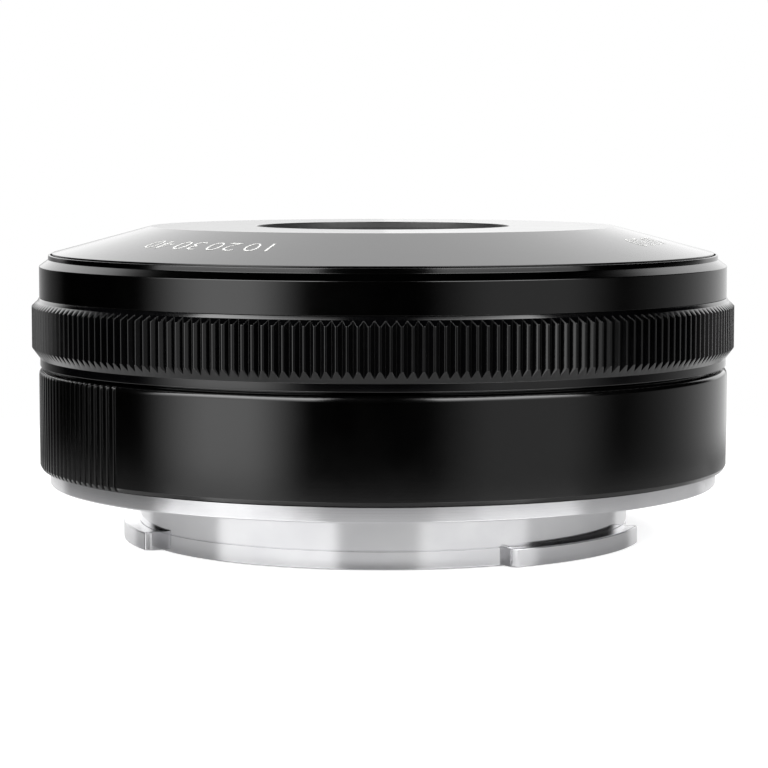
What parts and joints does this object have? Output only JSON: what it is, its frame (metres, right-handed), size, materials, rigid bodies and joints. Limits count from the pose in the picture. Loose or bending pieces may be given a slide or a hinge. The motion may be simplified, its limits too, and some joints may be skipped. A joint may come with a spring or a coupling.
{
  "type": "prime camera lens",
  "caption": "Compact manual prime lens with a three-lug bayonet, a ribbed focus ring, a knurled aperture ring, a coned front bezel and a working iris.",
  "frame": {"origin": "centre of the bayonet's rear rim, on the optical axis", "axes": "+Z along the optical axis towards the subject; -Y faces the viewer, with the red mounting dot at +Y"},
  "size_m": [0.0618, 0.0618, 0.0274],
  "materials": {
    "satin_chrome": "satin chrome plate on turned brass",
    "black_anodised": "satin black anodised, turned",
    "matt_black": "matt black, against stray light",
    "turned_brass": "turned, greased",
    "blackened_steel": "blackened",
    "bright_steel": "bright",
    "coated_glass": "polished, coated",
    "red_paint": "paint"
  },
  "bodies": {
    "mount": {"bayonet_mount": "satin_chrome", "mount_index_dot": "red_paint", "mount_screw_1": "bright_steel", "mount_screw_2": "bright_steel", "mount_screw_3": "bright_steel", "mount_screw_4": "bright_steel", "rear_baffle": "matt_black", "guide_sleeve": "black_anodised", "cam_retaining_ring": "turned_brass"},
    "focus": {"focus_ring": "black_anodised", "cam_sleeve": "turned_brass", "cam_screw_1": "blackened_steel", "cam_screw_2": "blackened_steel", "cam_screw_3": "blackened_steel"},
    "optical_unit": {"lens_barrel": "black_anodised", "cam_follower_1": "turned_brass", "cam_follower_2": "turned_brass", "cam_follower_3": "turned_brass", "front_barrel": "black_anodised", "front_barrel_screw_1": "blackened_steel", "front_barrel_screw_2": "blackened_steel", "front_barrel_screw_3": "blackened_steel", "front_bezel": "black_anodised", "front_cell": "matt_black", "rear_cell": "matt_black", "front_element": "coated_glass", "front_retaining_ring": "matt_black", "front_spacer": "matt_black", "second_element": "coated_glass", "doublet_front_element": "coated_glass", "doublet_rear_element": "coated_glass", "rear_spacer": "matt_black", "rear_element": "coated_glass", "rear_retaining_ring": "matt_black", "iris_housing": "matt_black"},
    "aperture": {"aperture_ring": "black_anodised", "aperture_drive_pin": "blackened_steel", "iris_drive_ring": "turned_brass"},
    "blade_1": {"iris_blade_1": "blackened_steel"},
    "blade_2": {"iris_blade_2": "blackened_steel"},
    "blade_3": {"iris_blade_3": "blackened_steel"},
    "blade_4": {"iris_blade_4": "blackened_steel"},
    "blade_5": {"iris_blade_5": "blackened_steel"},
    "blade_6": {"iris_blade_6": "blackened_steel"}
  },
  "joints": [
    {"name": "focus_turn", "type": "hinge", "parent": "mount", "child": "focus", "pos_m": [0, 0, 0.0106], "axis": [0, 0, 1], "range_deg": [0, 100]},
    {"name": "focus_travel", "type": "slide", "parent": "mount", "child": "optical_unit", "axis": [0, 0, 1], "range_m": [0, 0.003]},
    {"name": "aperture_turn", "type": "hinge", "parent": "optical_unit", "child": "aperture", "pos_m": [0, 0, 0.018], "axis": [0, 0, 1], "range_deg": [0, 48]},
    {"name": "blade_1_turn", "type": "hinge", "parent": "optical_unit", "child": "blade_1", "pos_m": [0.0116, 0, 0.0142], "axis": [0, 0, 1], "range_deg": [0, 25]},
    {"name": "blade_2_turn", "type": "hinge", "parent": "optical_unit", "child": "blade_2", "pos_m": [0.0058, 0.01005, 0.0142], "axis": [0, 0, 1], "range_deg": [0, 25]},
    {"name": "blade_3_turn", "type": "hinge", "parent": "optical_unit", "child": "blade_3", "pos_m": [-0.0058, 0.01005, 0.0142], "axis": [0, 0, 1], "range_deg": [0, 25]},
    {"name": "blade_4_turn", "type": "hinge", "parent": "optical_unit", "child": "blade_4", "pos_m": [-0.0116, 0, 0.0142], "axis": [0, 0, 1], "range_deg": [0, 25]},
    {"name": "blade_5_turn", "type": "hinge", "parent": "optical_unit", "child": "blade_5", "pos_m": [-0.0058, -0.01005, 0.0142], "axis": [0, 0, 1], "range_deg": [0, 25]},
    {"name": "blade_6_turn", "type": "hinge", "parent": "optical_unit", "child": "blade_6", "pos_m": [0.0058, -0.01005, 0.0142], "axis": [0, 0, 1], "range_deg": [0, 25]}
  ],
  "couplings": [
    {"joint": "focus_travel", "follows": "focus_turn", "m_per_rad": 0.0017188},
    {"joint": "blade_1_turn", "follows": "aperture_turn", "ratio": 0.5208},
    {"joint": "blade_2_turn", "follows": "aperture_turn", "ratio": 0.5208},
    {"joint": "blade_3_turn", "follows": "aperture_turn", "ratio": 0.5208},
    {"joint": "blade_4_turn", "follows": "aperture_turn", "ratio": 0.5208},
    {"joint": "blade_5_turn", "follows": "aperture_turn", "ratio": 0.5208},
    {"joint": "blade_6_turn", "follows": "aperture_turn", "ratio": 0.5208}
  ]
}
